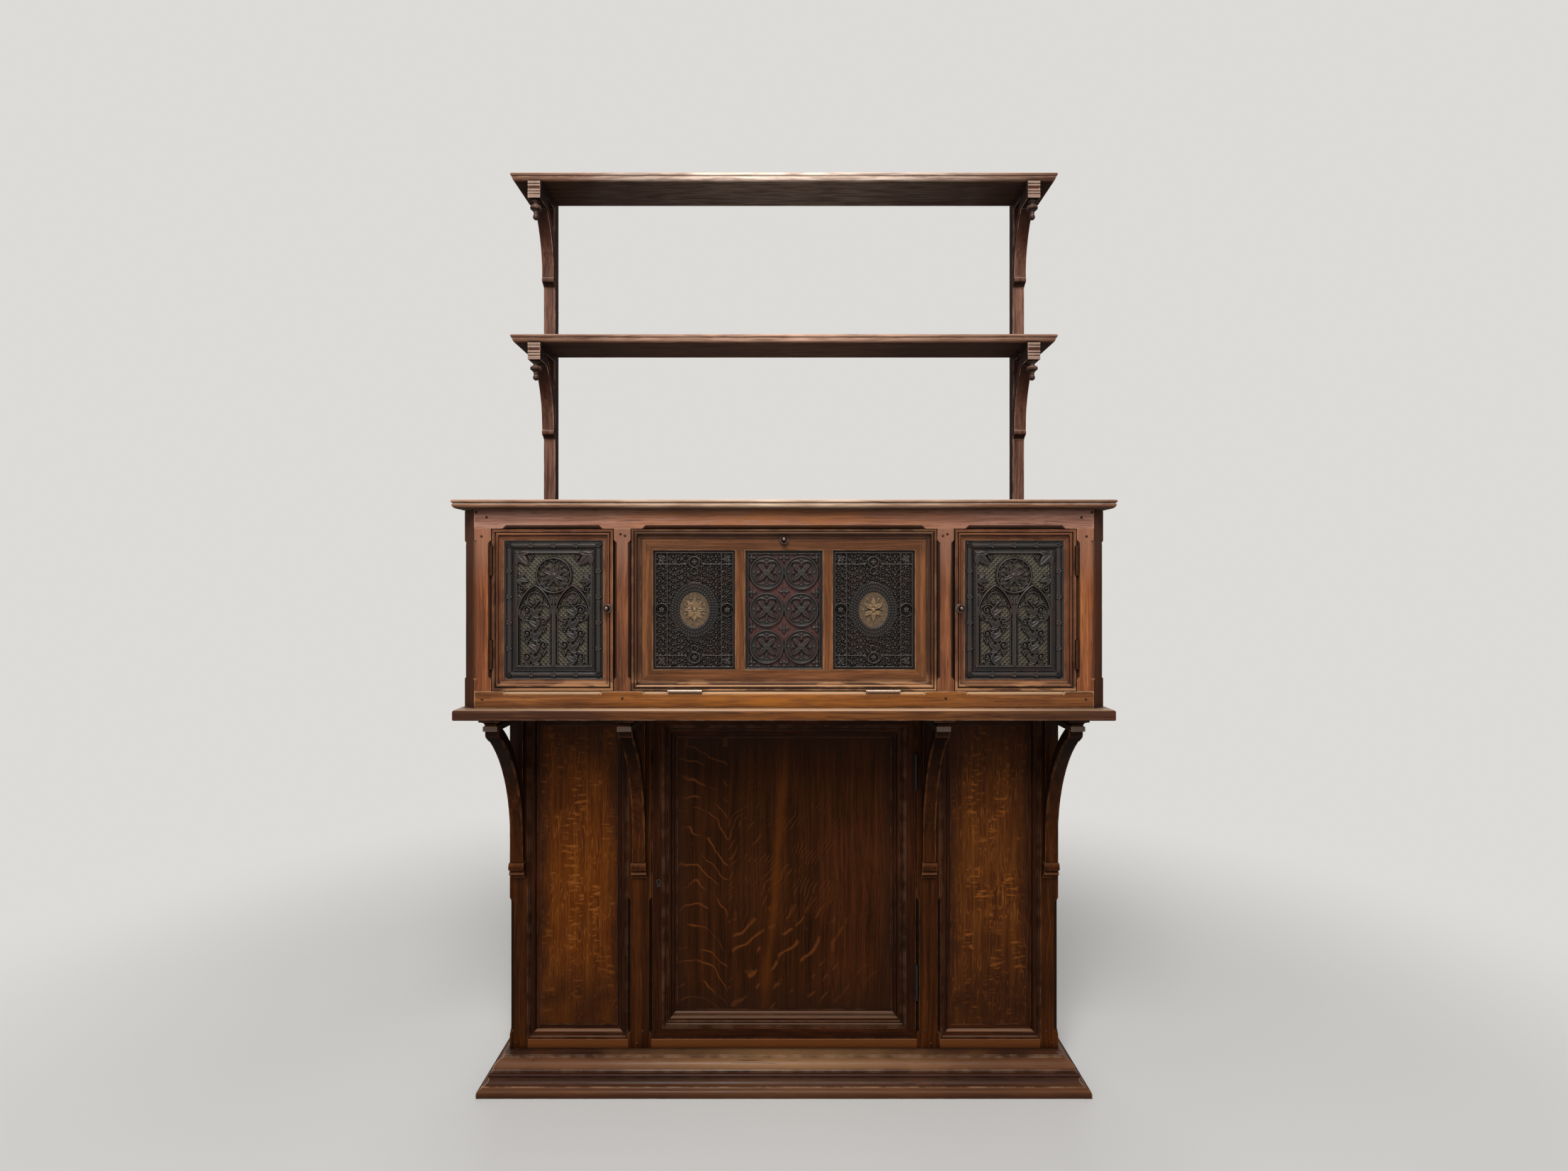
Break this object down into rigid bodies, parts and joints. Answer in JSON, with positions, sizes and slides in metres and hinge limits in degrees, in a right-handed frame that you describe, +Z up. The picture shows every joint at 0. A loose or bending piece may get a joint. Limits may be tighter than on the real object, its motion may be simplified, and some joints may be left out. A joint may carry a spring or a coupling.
{
  "type": "cabinet on stand",
  "caption": "Oak cabinet with two hinged doors and a drop flap, on a bracketed cupboard stand with its own door, under two open shelves on uprights.",
  "frame": {"origin": "middle of the bounding box, on the floor", "axes": "+X to the viewer's right, -Y to the front, +Z up"},
  "size_m": [1.178, 0.353, 1.811],
  "materials": {
    "oak_frame": "waxed dark oak",
    "oak_worn": "waxed oak, worn light at the edges",
    "oak_golden": "waxed quarter-sawn oak",
    "oak_brown_panel": "waxed quarter-sawn oak",
    "oak_carcase": "plain oak",
    "carved_panel": "blackened and pierced, on a coloured ground",
    "aged_brass": "aged",
    "steel": "aged",
    "iron": "dull"
  },
  "bodies": {
    "root": {"plinth_front": "oak_frame", "plinth_returns": "oak_frame", "plinth_back": "oak_carcase", "floor_board": "oak_carcase", "outer_post_left": "oak_frame", "outer_post_right": "oak_frame", "inner_post_left": "oak_frame", "inner_post_right": "oak_frame", "stand_rails": "oak_frame", "bay_mouldings": "oak_frame", "bay_panel_left": "oak_golden", "bay_panel_right": "oak_golden", "stand_side_left": "oak_carcase", "stand_side_right": "oak_carcase", "stand_back": "oak_carcase", "inner_shelf": "oak_carcase", "bracket_outer_left": "oak_frame", "bracket_outer_right": "oak_frame", "bracket_inner_left": "oak_frame", "bracket_inner_right": "oak_frame", "low_hinge_post": "steel", "ledge": "oak_worn", "corner_post_left": "oak_frame", "corner_post_right": "oak_frame", "mullion_left": "oak_frame", "mullion_right": "oak_frame", "cab_rail_bottom": "oak_worn", "cab_rail_head": "oak_frame", "cab_side_left": "oak_frame", "cab_side_right": "oak_frame", "cab_back": "oak_carcase", "partitions": "oak_carcase", "cab_hinges_fixed": "steel", "top_slab": "oak_worn", "upright_left": "oak_frame", "upright_right": "oak_frame", "shelf_low": "oak_frame", "shelf_top": "oak_frame", "shelf_brackets_low": "oak_frame", "shelf_brackets_top": "oak_frame", "pendants": "oak_frame"},
    "low_door": {"low_door_frame": "oak_frame", "low_door_moulding": "oak_frame", "low_door_panel": "oak_brown_panel", "low_door_escutcheon": "aged_brass", "low_door_lock": "iron", "low_hinge_door": "steel"},
    "lock_bolt": {"lock_bolt": "aged_brass"},
    "door_left": {"door_left_frame": "oak_frame", "door_left_carving": "carved_panel", "door_left_knob": "aged_brass", "door_left_hinges": "steel"},
    "door_right": {"door_right_frame": "oak_frame", "door_right_carving": "carved_panel", "door_right_knob": "aged_brass", "door_right_hinges": "steel"},
    "flap": {"flap_frame": "oak_frame", "flap_carvings": "carved_panel", "flap_knob": "aged_brass", "flap_hinges": "steel"}
  },
  "joints": [
    {"name": "low_door_hinge", "type": "hinge", "parent": "root", "child": "low_door", "pos_m": [0.2603, -0.011, 0.4], "axis": [0, 0, 1], "range_deg": [0, 90]},
    {"name": "lock_bolt_slide", "type": "slide", "parent": "low_door", "child": "lock_bolt", "axis": [-1, 0, 0], "range_m": [0, 0.008]},
    {"name": "door_left_hinge", "type": "hinge", "parent": "root", "child": "door_left", "pos_m": [-0.5242, -0.155, 0.93], "axis": [0, 0, -1], "range_deg": [0, 150]},
    {"name": "door_right_hinge", "type": "hinge", "parent": "root", "child": "door_right", "pos_m": [0.5242, -0.155, 0.93], "axis": [0, 0, 1], "range_deg": [0, 150]},
    {"name": "flap_hinge", "type": "hinge", "parent": "root", "child": "flap", "pos_m": [0, -0.155, 0.7828], "axis": [1, 0, 0], "range_deg": [0, 90]}
  ]
}
